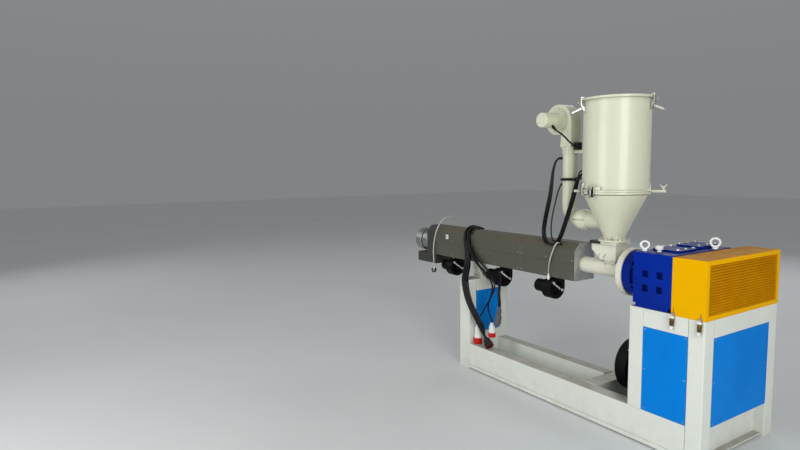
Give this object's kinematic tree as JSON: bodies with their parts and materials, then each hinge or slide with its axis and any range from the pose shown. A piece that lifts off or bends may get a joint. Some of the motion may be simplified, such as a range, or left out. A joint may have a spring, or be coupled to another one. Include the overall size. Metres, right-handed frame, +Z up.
{
  "type": "single-screw plastic extruder with hopper dryer",
  "caption": "Single-screw plastic extruder: box-beam floor frame, drive cabinet, gearbox with louvred belt guard, covered barrel with fans, hopper dryer over the feed throat.",
  "frame": {"origin": "on the floor under the barrel axis, at the middle of the pedestal's foot", "axes": "+X along the barrel from the die end to the drive end, -Y the near side, +Z up"},
  "size_m": [2.927, 0.8518, 2.126],
  "materials": {
    "white_paint": "satin enamel",
    "blue_panel": "satin enamel",
    "yellow_paint": "satin enamel",
    "gear_blue": "gloss enamel on cast iron",
    "dryer_white": "gloss enamel",
    "cover_grey": "satin enamel on sheet",
    "bare_steel": "turned and bare",
    "black_paint": "satin black",
    "black_plastic": "moulded, slightly glossy",
    "grey_plastic": "moulded, slightly glossy",
    "steel_braid": "woven sleeve"
  },
  "bodies": {
    "root": {"near_floor_beam": "white_paint", "spine_beam": "white_paint", "far_floor_beam": "white_paint", "wide_cross_beam": "white_paint", "drive_end_channel": "white_paint", "cabinet_posts": "white_paint", "cabinet_rails": "white_paint", "gearbox_seat": "white_paint", "motor_bed": "white_paint", "white_flange": "white_paint", "feed_throat": "white_paint", "hopper_base": "white_paint", "barrel_bracket": "white_paint", "pedestal_posts": "white_paint", "pedestal_rails": "white_paint", "cabinet_panels": "blue_panel", "pedestal_panels": "blue_panel", "belt_guard": "yellow_paint", "gearbox_housing": "gear_blue", "gearbox_covers": "gear_blue", "outlet_spool": "dryer_white", "dryer_cone": "dryer_white", "dryer_shell": "dryer_white", "dryer_lid": "dryer_white", "clamp_arms": "dryer_white", "blower_scroll": "dryer_white", "blower_motor": "dryer_white", "heater_tube": "dryer_white", "tube_bracket": "dryer_white", "air_elbow": "dryer_white", "zone_cover_1": "cover_grey", "zone_cover_2": "cover_grey", "zone_cover_3": "cover_grey", "die_end_casing": "cover_grey", "guard_latches": "bare_steel", "lifting_eyes": "bare_steel", "dryer_latches": "bare_steel", "barrel": "bare_steel", "barrel_flange": "bare_steel", "die_flange": "bare_steel", "main_motor": "black_paint", "motor_cowl": "black_paint", "slide_gate": "black_paint", "cooling_fan_1": "black_paint", "cooling_fan_2": "black_paint", "cooling_fan_3": "black_paint", "plug_cable_1": "black_plastic", "plug_cable_2": "black_plastic", "plug_cable_3": "black_plastic", "fan_lead": "black_plastic", "motor_lead": "black_plastic", "heater_cable_1": "black_plastic", "heater_cable_2": "black_plastic", "cable_glands": "black_plastic", "breather": "grey_plastic", "cable_plugs": "grey_plastic", "terminal_box": "grey_plastic", "probe_plugs": "grey_plastic", "sleeve_lead": "steel_braid", "thermo_lead": "steel_braid"}
  },
  "joints": []
}
